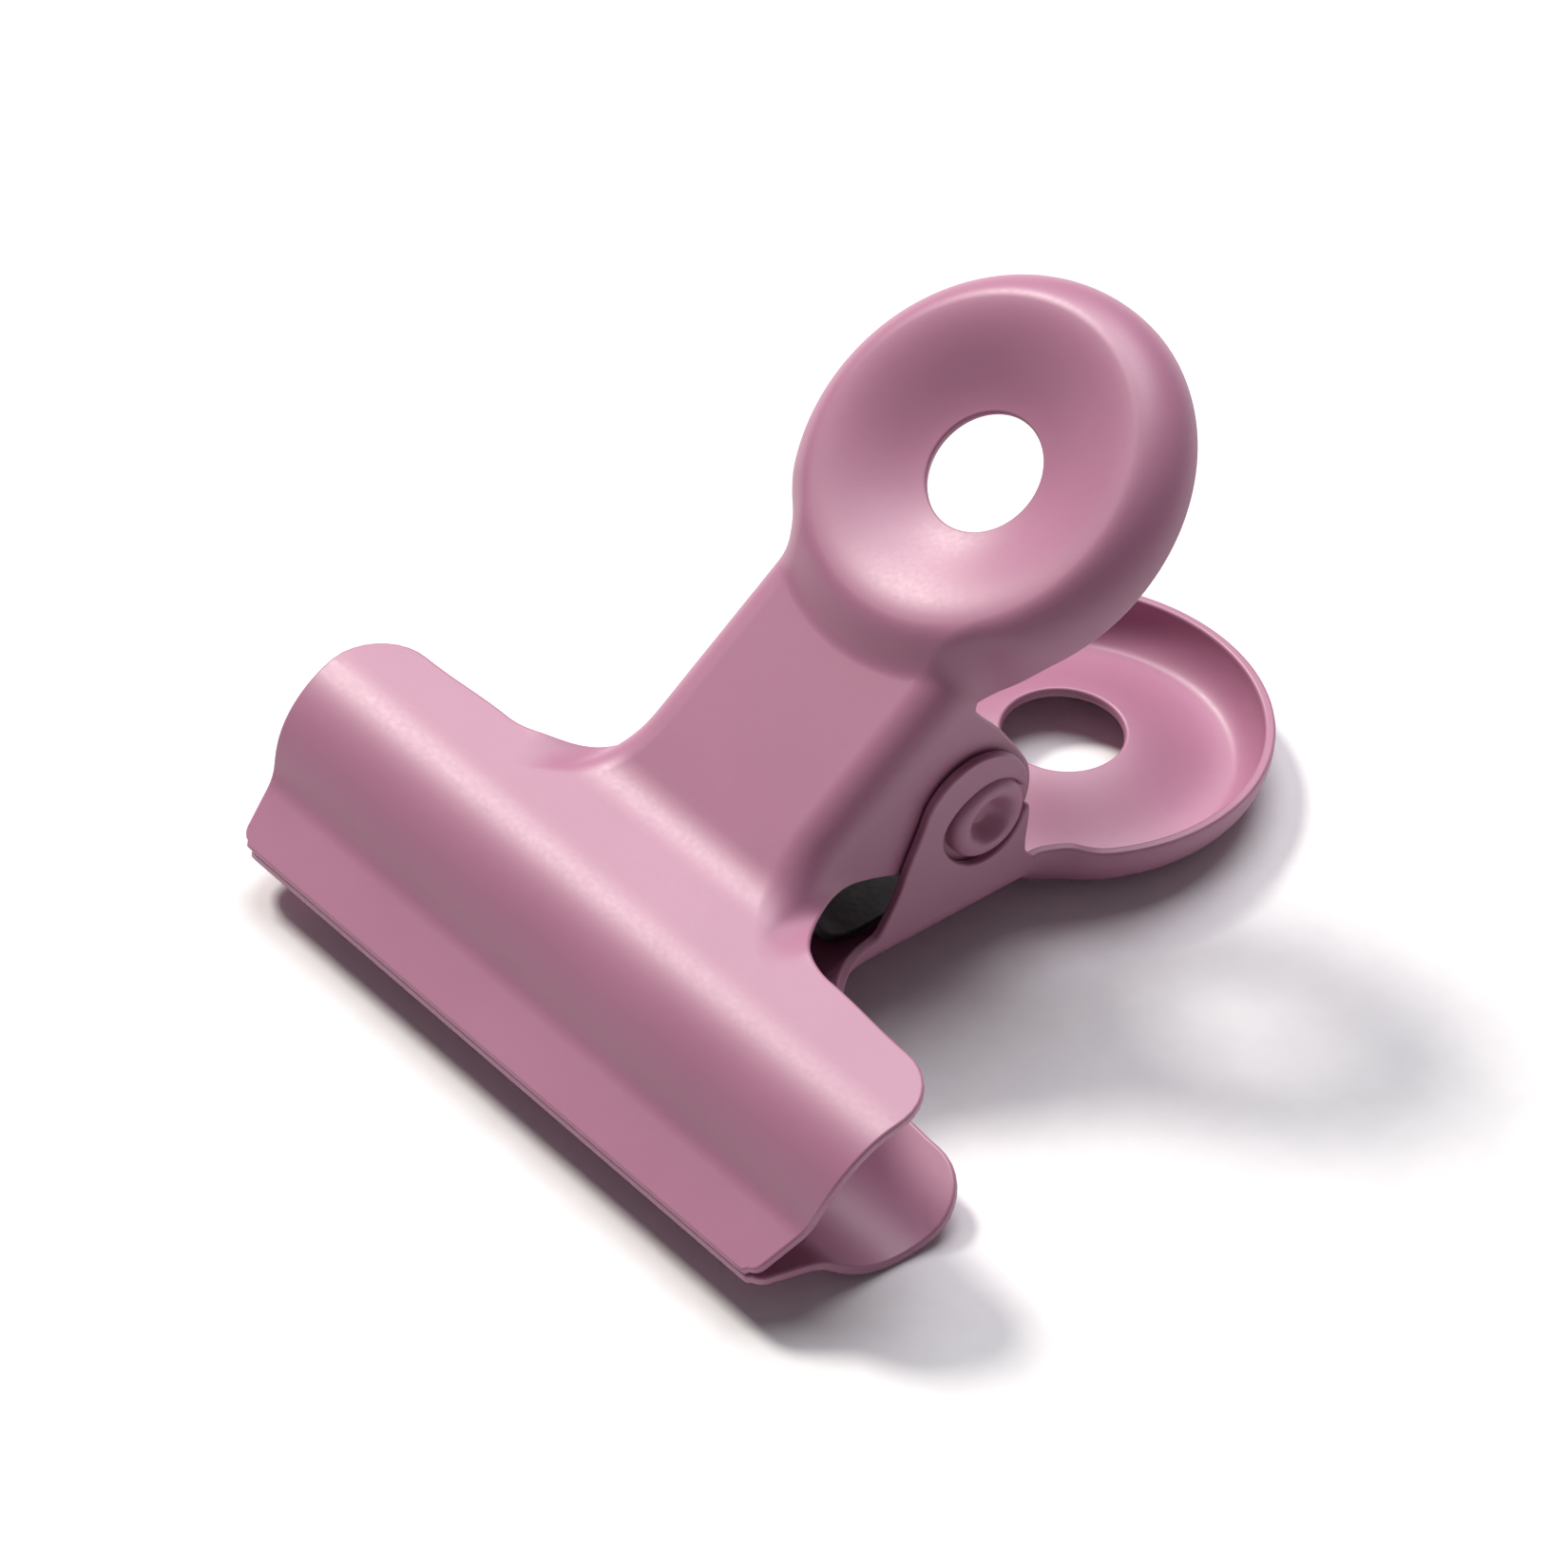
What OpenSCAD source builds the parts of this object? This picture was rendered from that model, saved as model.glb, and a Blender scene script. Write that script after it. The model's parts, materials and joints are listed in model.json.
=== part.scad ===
// Round-handled letter clip: two pressed steel plates hinged on trunnions, closed by a strip spring.
// The clip lies on its lower plate. X runs along the jaw, Y points from the lip to the handles, +Z is up.
// The origin is the middle of the clip's footprint, on the surface that it rests on.
// Plates are drawn in the clip's own plane: y is measured back from the lip and z out from the contact
// plane of the jaws. The whole clip is then tilted so that jaw and handle both touch the surface.

/* [Sheet] */
// Thickness of the plates
sheet_t = 0.4; // [0.35:0.05:0.45]

/* [Jaw] */
// Width of the jaw over its rear corners
jaw_w = 31; // [29:0.5:34]
// Width of the jaw along the lip
lip_w = 28.4; // [27:0.1:28.4]
// Distance from the lip to the jaw's rear edge
jaw_depth = 8.75; // [8.5:0.05:8.9]
// Slope of the flat band behind the lip, in degrees
lip_rise = 19; // [18:0.5:20]
// Slope of the jaw's front flank, in degrees
flank_rise = 54; // [53:0.5:55]
// Outer radius of the rolled jaw
roll_r = 4.15; // [4.1:0.05:4.2]
// Slope at which the jaw falls towards the neck, in degrees
back_fall = 12; // [11.5:0.5:12.5]

/* [Neck and ears] */
// Outer width of the upper plate's neck
neck_w = 9.8; // [9.4:0.1:10.2]
// Gap between an upper ear and the lower ear beside it
ear_gap = 0.07; // [0.05:0.01:0.1]
// Angle between a handle and the clip's middle plane, in degrees
handle_angle = 19.06; // [18.5:0.5:19.5]
// Outer radius of the fold between neck and ear
fold_r = 1.1; // [0.9:0.1:1.2]
// Radius of the ear's round end
lobe_r = 2.5; // [2.4:0.1:2.6]

/* [Handle] */
// Distance from the neck bend to the handle's hole
hole_reach = 15.36; // [15.2:0.05:15.5]
// Radius of the hang hole
hole_r = 2.25; // [2:0.05:2.4]
// Radius of the raised ring round the dish
crest_r = 6.1; // [6:0.05:6.2]
// Height of the raised ring over the edge of the hole
crest_h = 1.2; // [1.1:0.05:1.25]
// Outer radius of the rim that turns down from the ring
rim_bend_r = 1.5; // [1.4:0.05:1.6]
// Length of the rim below its bend
rim_drop = 0.4; // [0.3:0.05:0.5]

/* [Hinge] */
// Distance from the lip to the hinge axis
pivot_y = 18.75; // [18.65:0.05:18.85]
// Height of the hinge axis over the clip's middle plane
pivot_z = -0.8; // [-0.85:0.05:-0.75]
// Radius of the trunnions pressed out of the upper ears
trunnion_r = 1.65; // [1.5:0.05:1.7]
// Radial running clearance of the trunnions
trunnion_fit = 0.06; // [0.03:0.01:0.09]
// How far a trunnion stands out past the lower ear
trunnion_proud = 0.2; // [0.1:0.05:0.3]

/* [Spring] */
// Width of the spring strip
spring_w = 8; // [7:0.5:8.5]
// Thickness of the spring strip
spring_t = 0.4; // [0.3:0.05:0.5]
// Outer radius of the spring's loop
loop_r = 2.7; // [2.65:0.05:2.7]

/* [Hidden] */
$fn = 96;
paint = [0.73, 0.55, 0.64];
steel = [0.23, 0.23, 0.25];
lower_neck_w = neck_w + 2 * (ear_gap + sheet_t);
neck_lift = 0.3;        // neck plane over the edge of the hole
lip_band = 2.1;
hollow_bend_r = 1.3;
flank_len = 0.3;
back_len = 2.08;
neck_bend_r = 3.5;
web_r = 3.8;            // plan radius between neck and jaw
waist_r = 2.8;          // plan radius between neck and disc
lobe_back = 0.4;        // lower ear's round end in front of the hinge axis
past = 1;               // how far cutting shapes run past what they cut
arc_step = 5;           // degrees between points of a bend

function arc_len(r, a) = r * abs(a) * PI / 180;

// Walks a path of [length, turn] stretches from p = [y, z, heading], with points every few degrees.
function steps(stretches) = [
    for (s = stretches)
        let (n = max(1, ceil(abs(s[1]) / arc_step)))
        for (k = [1:n]) [s[0] / n, s[1] / n]
];
function chord(s) = s[1] == 0 ? s[0] : s[0] * sin(s[1] / 2) / (s[1] / 2 * PI / 180);
function ahead(p, s) =
    let (d = p[2] + s[1] / 2)
    [p[0] + chord(s) * cos(d), p[1] + chord(s) * sin(d), p[2] + s[1]];
function walk(p, list, i = 0) =
    i == len(list) ? [p] : concat([p], walk(ahead(p, list[i]), list, i + 1));

// Outline of a sheet of thickness t whose outer face follows the path.
function outer_face(path) = [for (p = path) [p[0], p[1]]];
function inner_face(path, t) = [
    for (i = [len(path) - 1:-1:0])
        [path[i][0] + t * sin(path[i][2]), path[i][1] - t * cos(path[i][2])]
];
function arc(c, r, from, to) =
    let (n = ceil(abs(to - from) / arc_step))
    [for (k = [0:n]) let (a = from + (to - from) * k / n) [c[0] + r * cos(a), c[1] + r * sin(a)]];

// Side view of the jaw and the bend into the neck.
front_stretches = [
    [lip_band, 0],
    [arc_len(hollow_bend_r, flank_rise - lip_rise), flank_rise - lip_rise],
    [flank_len, 0]
];
jaw_path = walk([0, sheet_t, lip_rise], steps(concat(front_stretches, [
    [arc_len(roll_r, flank_rise + back_fall), -flank_rise - back_fall],
    [back_len, 0],
    [arc_len(neck_bend_r, back_fall + handle_angle), back_fall + handle_angle]
])));
neck_start = jaw_path[len(jaw_path) - 1];
hole_y = neck_start[0] + hole_reach * cos(handle_angle) + neck_lift * sin(handle_angle);
hole_z = neck_start[1] + hole_reach * sin(handle_angle) - neck_lift * cos(handle_angle);

// Centre of the rolled jaw and of the rim's bend, which are what the clip rests on.
roll_start = walk([0, sheet_t, lip_rise], steps(front_stretches));
roll_p = roll_start[len(roll_start) - 1];
roll_c = [roll_p[0] + roll_r * sin(flank_rise), roll_p[1] - roll_r * cos(flank_rise)];
bend_h = crest_h - rim_bend_r;
rim_c = [
    hole_y + crest_r * cos(handle_angle) - bend_h * sin(handle_angle),
    hole_z + crest_r * sin(handle_angle) + bend_h * cos(handle_angle)
];
// Tilt at which the lowest points of both rounds are level.
rest_dy = rim_c[0] - roll_c[0];
rest_dz = rim_c[1] - roll_c[1];
tilt = atan2(rest_dz, rest_dy) - asin((roll_r - rim_bend_r) / norm([rest_dy, rest_dz]));
rest_z = roll_r - roll_c[0] * sin(tilt) + roll_c[1] * cos(tilt);
// The footprint runs from the upper lip to the lower handle's rim.
rim_r = crest_r + rim_bend_r;
rim_low = bend_h - rim_drop;
front_y = -sheet_t * sin(tilt);
lower_slope = tilt - handle_angle;
back_y = hole_y * cos(tilt) + hole_z * sin(tilt) + rim_r * cos(lower_slope)
    - rim_low * sin(-lower_slope);
middle_y = (front_y + back_y) / 2;

// Places a shape drawn in the clip's own plane onto the resting surface.
module at_rest() {
    translate([0, -middle_y, rest_z]) rotate([tilt, 0, 0]) children();
}

// Extrudes a side view, drawn as [y, z], along X between two x positions.
module side(x0, x1) {
    translate([x0, 0, 0]) rotate([90, 0, 90]) linear_extrude(x1 - x0) children();
}

module at_hole() {
    translate([0, hole_y, hole_z]) rotate([handle_angle, 0, 0]) children();
}

// Plan of the jaw with its slanted ends, and the start of the neck.
module jaw_plan(w) {
    lip_corner = 0.6;
    rear_corner = 2.3;
    flare_y = 3.4;
    flare_x = jaw_w / 2 - 0.25;
    side_y = 5.9;
    half = concat(
        [[0, -past], [lip_w / 2 - lip_corner, -past], [lip_w / 2 - lip_corner, 0]],
        arc([lip_w / 2 - lip_corner, lip_corner], lip_corner, -90, -10),
        [[flare_x, flare_y], [jaw_w / 2, side_y]],
        arc([jaw_w / 2 - rear_corner, jaw_depth - rear_corner], rear_corner, 0, 90),
        arc([w / 2 + web_r, jaw_depth + web_r], web_r, -90, -180),
        [[w / 2, neck_start[0] + past], [0, neck_start[0] + past]]
    );
    polygon(half);
    mirror([1, 0, 0]) polygon(half);
}

module jaw(w) {
    outline = concat(outer_face(jaw_path), inner_face(jaw_path, sheet_t));
    intersection() {
        side(-jaw_w / 2 - past, jaw_w / 2 + past) polygon(outline);
        translate([0, 0, -past]) linear_extrude(10) jaw_plan(w);
    }
}

// Side view of neck and ears. lobe is the centre of the ear's round end.
module ear_view(lobe) {
    front = [neck_start[0], neck_start[1] - 1];
    knee = [14, 1.1 + lobe[1]];
    rear = [hole_y - 5.9, hole_z - 3.1];
    translate(lobe) circle(lobe_r);
    polygon([
        front,
        knee,
        lobe + lobe_r * [-cos(25), -sin(25)],
        lobe + lobe_r * [cos(5), sin(5)],
        rear,
        [hole_y - 5.5, hole_z - 2.7],
        [hole_y, hole_z - 1],
        [hole_y, hole_z + 5],
        [neck_start[0], neck_start[1] + 5]
    ]);
}

// Channel section of neck and ears: a flat top with both sides folded down.
module channel(w) {
    depth = 14;
    difference() {
        fold_section(w / 2, fold_r, depth);
        translate([0, -sheet_t]) fold_section(w / 2 - sheet_t, fold_r - sheet_t, depth);
    }
}

module fold_section(half, r, depth) {
    translate([-half, -depth]) square([2 * half, depth - r]);
    translate([-half + r, -r - past]) square([2 * (half - r), r + past]);
    for (s = [-1, 1]) translate([s * (half - r), -r]) circle(r);
}

module neck_and_ears(w, lobe) {
    length = hole_reach - crest_r - sheet_t;
    intersection() {
        at_hole() translate([0, length - hole_reach, neck_lift])
            rotate([90, 0, 0]) linear_extrude(length) channel(w);
        side(-w, w) ear_view(lobe);
    }
}

// Waist between neck and disc: a web and a turned-down edge that follow the plan radius.
module waist(w) {
    c = [w / 2 + waist_r, -sqrt(pow(rim_r + waist_r, 2) - pow(w / 2 + waist_r, 2))];
    touch = rim_r / (rim_r + waist_r) * c;
    translate([0, 0, neck_lift - sheet_t]) linear_extrude(sheet_t) waist_plan(w, c, touch, 0);
    translate([0, 0, rim_low]) linear_extrude(neck_lift - rim_low) difference() {
        waist_plan(w, c, touch, 0);
        waist_plan(w, c, touch, sheet_t);
    }
}

module waist_plan(w, c, touch, inset) {
    difference() {
        polygon([[-touch[0], touch[1]], [-w / 2 + inset, c[1]], [w / 2 - inset, c[1]], touch]);
        for (s = [-1, 1]) translate([s * c[0], c[1]]) circle(waist_r + inset);
        circle(crest_r + (rim_bend_r - sheet_t) / 2);
    }
}

// Half section of the dished disc, as [r, height over the edge of the hole].
module disc_section() {
    entry = 0.176;      // slope of the dish at the hole
    span = crest_r - hole_r;
    dish = [
        for (k = [0:8])
            let (u = k / 8)
            [
                hole_r + span * u,
                entry * span * (pow(u, 3) - 2 * pow(u, 2) + u)
                    + crest_h * (3 * pow(u, 2) - 2 * pow(u, 3))
            ]
    ];
    polygon(concat(
        dish,
        arc([crest_r, bend_h], rim_bend_r, 85, 0),
        [[rim_r, rim_low], [rim_r - sheet_t, rim_low]],
        arc([crest_r, bend_h], rim_bend_r - sheet_t, 0, 85),
        [for (k = [8:-1:0]) dish[k] - [0, sheet_t]]
    ));
}

module disc(w) {
    difference() {
        rotate_extrude() disc_section();
        translate([sheet_t - w / 2, -2 * rim_r, rim_low - past])
            cube([w - 2 * sheet_t, 2 * rim_r - 5, neck_lift - sheet_t - rim_low + past]);
    }
}

module plate(w, lobe) {
    jaw(w);
    neck_and_ears(w, lobe);
    at_hole() waist(w);
    at_hole() disc(w);
}

// Hollow trunnion: a short boss with a dimple in its end.
module trunnion() {
    reach = ear_gap + sheet_t + trunnion_proud;
    dimple_r = 0.95;
    dimple_h = 0.45;
    difference() {
        translate([neck_w / 2 - sheet_t, 0, 0]) rotate([0, 90, 0]) cylinder(r = trunnion_r, h = sheet_t + reach);
        translate([neck_w / 2 + reach - dimple_h, 0, 0]) rotate([0, 90, 0]) cylinder(r = dimple_r, h = past);
    }
}

module upper_plate() {
    color(paint) at_rest() {
        plate(neck_w, [pivot_y, pivot_z]);
        for (s = [0, 1]) mirror([s, 0, 0]) translate([0, pivot_y, pivot_z]) trunnion();
    }
}

module lower_plate() {
    color(paint) at_rest() difference() {
        mirror([0, 0, 1]) plate(lower_neck_w, [pivot_y - lobe_back, 0]);
        translate([-lower_neck_w, pivot_y, pivot_z]) rotate([0, 90, 0])
            cylinder(r = trunnion_r + trunnion_fit, h = 2 * lower_neck_w);
    }
}

// Spring strip: a loop in front of the hinge whose arms press the handles apart from inside.
module spring() {
    arm_rise = 29.5;
    arm_len = 6.4;
    tip_bend_r = 2.5;
    tip_len = 0.6;
    loop_front = 12.4;
    upper_half = walk([loop_front, 0, 90], steps([
        [arc_len(loop_r, 90 - arm_rise), arm_rise - 90],
        [arm_len, 0],
        [arc_len(tip_bend_r, arm_rise - handle_angle), handle_angle - arm_rise],
        [tip_len, 0]
    ]));
    outer = outer_face(upper_half);
    inner = inner_face(upper_half, spring_t);
    last = len(outer) - 1;
    color(steel) at_rest() side(-spring_w / 2, spring_w / 2) polygon(concat(
        [for (i = [last:-1:1]) [outer[i][0], -outer[i][1]]],
        outer,
        inner,
        [for (i = [last - 1:-1:0]) [inner[i][0], -inner[i][1]]]
    ));
}

upper_plate();
lower_plate();
spring();
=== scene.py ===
"""Looks of a round-handled letter clip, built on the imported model's frame.

Each plate is one pressed sheet. It is laid out as a flat blank: x runs across the jaw, s runs back along the
middle of the sheet from the lip. The blank is bent along its side view, dished round the hang hole and turned
down along its border, and is then given its thickness and rounded edges. Lengths are in millimetres in the
clip's own plane (y back from the lip, z out from the contact plane) until they are placed in the frame.
"""
import json
import math

import bpy
import numpy as np
from mathutils import Matrix, Vector
from mathutils.geometry import delaunay_2d_cdt


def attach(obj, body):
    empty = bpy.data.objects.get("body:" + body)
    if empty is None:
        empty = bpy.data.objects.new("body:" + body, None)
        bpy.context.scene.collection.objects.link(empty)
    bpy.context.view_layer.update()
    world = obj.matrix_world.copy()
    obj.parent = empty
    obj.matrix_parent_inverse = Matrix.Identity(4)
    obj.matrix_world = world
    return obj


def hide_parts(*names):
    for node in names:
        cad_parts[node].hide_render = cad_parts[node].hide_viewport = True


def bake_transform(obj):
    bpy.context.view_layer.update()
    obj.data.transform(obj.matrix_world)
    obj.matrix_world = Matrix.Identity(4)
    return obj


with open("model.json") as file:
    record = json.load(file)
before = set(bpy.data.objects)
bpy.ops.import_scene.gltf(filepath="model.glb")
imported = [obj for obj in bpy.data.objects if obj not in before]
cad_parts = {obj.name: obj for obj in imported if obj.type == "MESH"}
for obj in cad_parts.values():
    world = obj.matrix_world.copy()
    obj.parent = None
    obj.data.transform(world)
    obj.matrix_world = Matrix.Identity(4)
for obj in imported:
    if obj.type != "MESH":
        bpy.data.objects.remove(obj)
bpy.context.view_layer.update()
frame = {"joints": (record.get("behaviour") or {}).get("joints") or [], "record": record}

MM = 0.001

# Sheet
SHEET = 0.4
EDGE_R = 0.13          # rounding of the painted edges

# Side view of a plate: lip band, hollow, flank, roll, back, bend into the neck
LIP_RISE = 19.0
FLANK_RISE = 54.0
BACK_FALL = 12.0
HANDLE_ANGLE = 19.06
LIP_BAND = 2.1
HOLLOW_R = 1.3
FLANK = 0.3
ROLL_R = 4.15
BACK = 2.08
NECK_BEND_R = 3.5
HANDLE_LENGTH = 30.0

# Jaw outline
LIP_HALF = 14.2
JAW_DEPTH = 8.75
LIP_CORNER = 0.6
REAR_CORNER = 2.3
END_FLARE = 0.26       # widening of the jaw's ends near the lip, per millimetre of sheet
END_REAR_FLARE = 0.07
END_KNEE = 4.1
WEB_R = 3.8
WEB_OUT = 0.25         # how far the rear edge runs out before it turns into the web
FLAT_STRIP = 0.5       # width of the border strip round the lip and the jaw's ends

# Handle
HOLE_REACH = 15.36
HOLE_R = 2.25
CREST_R = 6.13
CREST_H = 1.17
DISH_ENTRY = 0.176
NECK_LIFT = 0.3        # neck over the edge of the hole
CREST_FALL = 1.9       # distance over which the ring falls to the neck
WAIST_R = 4.2
NECK_FOLD_R = 1.5
RIM_FOLD_R = 1.55
CREST_BEND_R = 0.7     # tighter bend along the top of the ring
CREST_BEND = 32.0      # and the angle it turns through
RIM_DROP = 0.15
CREST_BLEND = 0.4      # share of the ring's radius over which its fall to the neck sets in

# Hinge
TRUNNION_R = 1.65
TRUNNION_FIT = 0.12    # gap between a trunnion and the hole in the lower ear
TRUNNION_PROUD = 0.2
LOBE_R = 2.5
LOBE_BACK = 0.4        # lower ear's round end in front of the hinge axis
EAR_END = 9.6          # end of the ears, back from the neck bend
NECK_HALF = {"upper": 4.9, "lower": 5.37}

# Spring strip
SPRING_W = 8.8
SPRING_TAPER = 0.8     # narrowing of each edge from the loop to the arm's end
SPRING_LOOP_R = 3.2
SPRING_FRONT = 11.2
SPRING_RISE = 24.0     # slope of the arms
SPRING_ARM = 6.4
SPRING_TIP_R = 2.3
SPRING_TIP = 0.6

# Mesh density
ALONG = 0.24
ACROSS_ROWS = 16
FILL = 0.36
FILL_ALONG = 0.26
RING_STEP = 0.22
RING_REACH = 2.3       # rings of points go this far past the raised ring


# ---------------------------------------------------------------- frame of the clip

def clip_axes():
    """Origin and axes of the clip's own plane, from the record's jaw mount."""
    mount = [m for m in frame["record"]["mounts"] if m["name"] == "jaw_grip"][0]
    back = -np.array(mount["axis"], float)
    back /= np.linalg.norm(back)
    side = np.array([1.0, 0.0, 0.0])
    return np.array(mount["pos_m"], float), side, back, np.cross(side, back)


ORIGIN, SIDE, BACKWARD, OUTWARD = clip_axes()


def placed(points):
    """Points of the clip's own plane, in the frame, in metres."""
    p = np.asarray(points, float)
    return ORIGIN + MM * (p[:, :1] * SIDE + p[:, 1:2] * BACKWARD + p[:, 2:] * OUTWARD)


def placed_directions(vectors):
    """Directions of the clip's own plane, in the frame."""
    v = np.asarray(vectors, float)
    return v[:, :1] * SIDE + v[:, 1:2] * BACKWARD + v[:, 2:] * OUTWARD


def pivot():
    """The hinge axis in the clip's own plane, as (y, z)."""
    joint = frame["joints"][0]
    d = (np.array(joint["pos_m"], float) - ORIGIN) / MM
    return float(d @ BACKWARD), float(d @ OUTWARD)


PIVOT_Y, PIVOT_Z = pivot()


# ---------------------------------------------------------------- side view

def bend(outer_r, turn, concave=False):
    """One bend of the sheet's middle, as (length, turn in radians)."""
    r = outer_r + SHEET / 2 if concave else outer_r - SHEET / 2
    a = math.radians(turn)
    return (r * a, a if concave else -a)


def path(stretches, start, heading):
    """A path of (length, turn) stretches, as rows of station, y, z, heading and curvature."""
    rows = []
    s, y, z, a = 0.0, start[0], start[1], math.radians(heading)
    for length, turn in stretches:
        rows.append((s, y, z, a, turn / length))
        chord = length * np.sinc(turn / 2 / math.pi)
        y += chord * math.cos(a + turn / 2)
        z += chord * math.sin(a + turn / 2)
        a += turn
        s += length
    return np.array(rows)


def along(rows, s):
    """y, z and heading of a path at the stations s."""
    s = np.asarray(s, float)
    k = np.clip(np.searchsorted(rows[:, 0], s, side="right") - 1, 0, len(rows) - 1)
    s0, y0, z0, a0, curve = np.moveaxis(rows[k], -1, 0)
    ds = s - s0
    half = curve * ds / 2
    chord = ds * np.sinc(half / math.pi)
    return y0 + chord * np.cos(a0 + half), z0 + chord * np.sin(a0 + half), a0 + 2 * half


def plate_path():
    rise = math.radians(LIP_RISE)
    start = (SHEET / 2 * math.sin(rise), SHEET - SHEET / 2 * math.cos(rise))
    return path([
        (LIP_BAND, 0.0),
        bend(HOLLOW_R, FLANK_RISE - LIP_RISE, concave=True),
        (FLANK, 0.0),
        bend(ROLL_R, FLANK_RISE + BACK_FALL),
        (BACK, 0.0),
        bend(NECK_BEND_R, BACK_FALL + HANDLE_ANGLE, concave=True),
        (HANDLE_LENGTH, 0.0),
    ], start, LIP_RISE)


PLATE = plate_path()
NECK_S = PLATE[-1, 0]
HOLE_S = NECK_S + HOLE_REACH
STATIONS = np.linspace(0.0, NECK_S, 2001)
REAR_S = float(np.interp(JAW_DEPTH, along(PLATE, STATIONS)[0], STATIONS))


# ---------------------------------------------------------------- fields on the blank

def smooth(u):
    u = np.clip(u, 0.0, 1.0)
    return u * u * (3 - 2 * u)


def lift(x, s):
    """Height of the sheet over the neck plane: the dish, its raised ring, and the ring's fall to the neck."""
    v = s - HOLE_S
    r = np.hypot(x, v)
    span = CREST_R - HOLE_R
    u = np.clip((r - HOLE_R) / span, -0.2, 1.0)
    dish = DISH_ENTRY * span * (u ** 3 - 2 * u ** 2 + u) + CREST_H * (3 * u ** 2 - 2 * u ** 3)
    towards_neck = smooth((-v - (1 - CREST_BLEND) * CREST_R) / (CREST_BLEND * CREST_R))
    return (dish - NECK_LIFT) * (1 - towards_neck * smooth((r - CREST_R) / CREST_FALL))


def sheet_point(x, s, drop=0.0):
    """Middle of the sheet over the blank's point (x, s), moved down by drop."""
    y, z, a = along(PLATE, s)
    h = lift(x, s) - drop
    return np.stack([x + 0 * h, y - np.sin(a) * h, z + np.cos(a) * h], -1)


def unit(v):
    return v / np.maximum(np.linalg.norm(v, axis=-1, keepdims=True), 1e-12)


def sheet_normal(x, s):
    e = 0.01
    dx = sheet_point(x + e, s) - sheet_point(x - e, s)
    ds = sheet_point(x, s + e) - sheet_point(x, s - e)
    return unit(np.cross(dx, ds))


# ---------------------------------------------------------------- border of the blank

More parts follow.
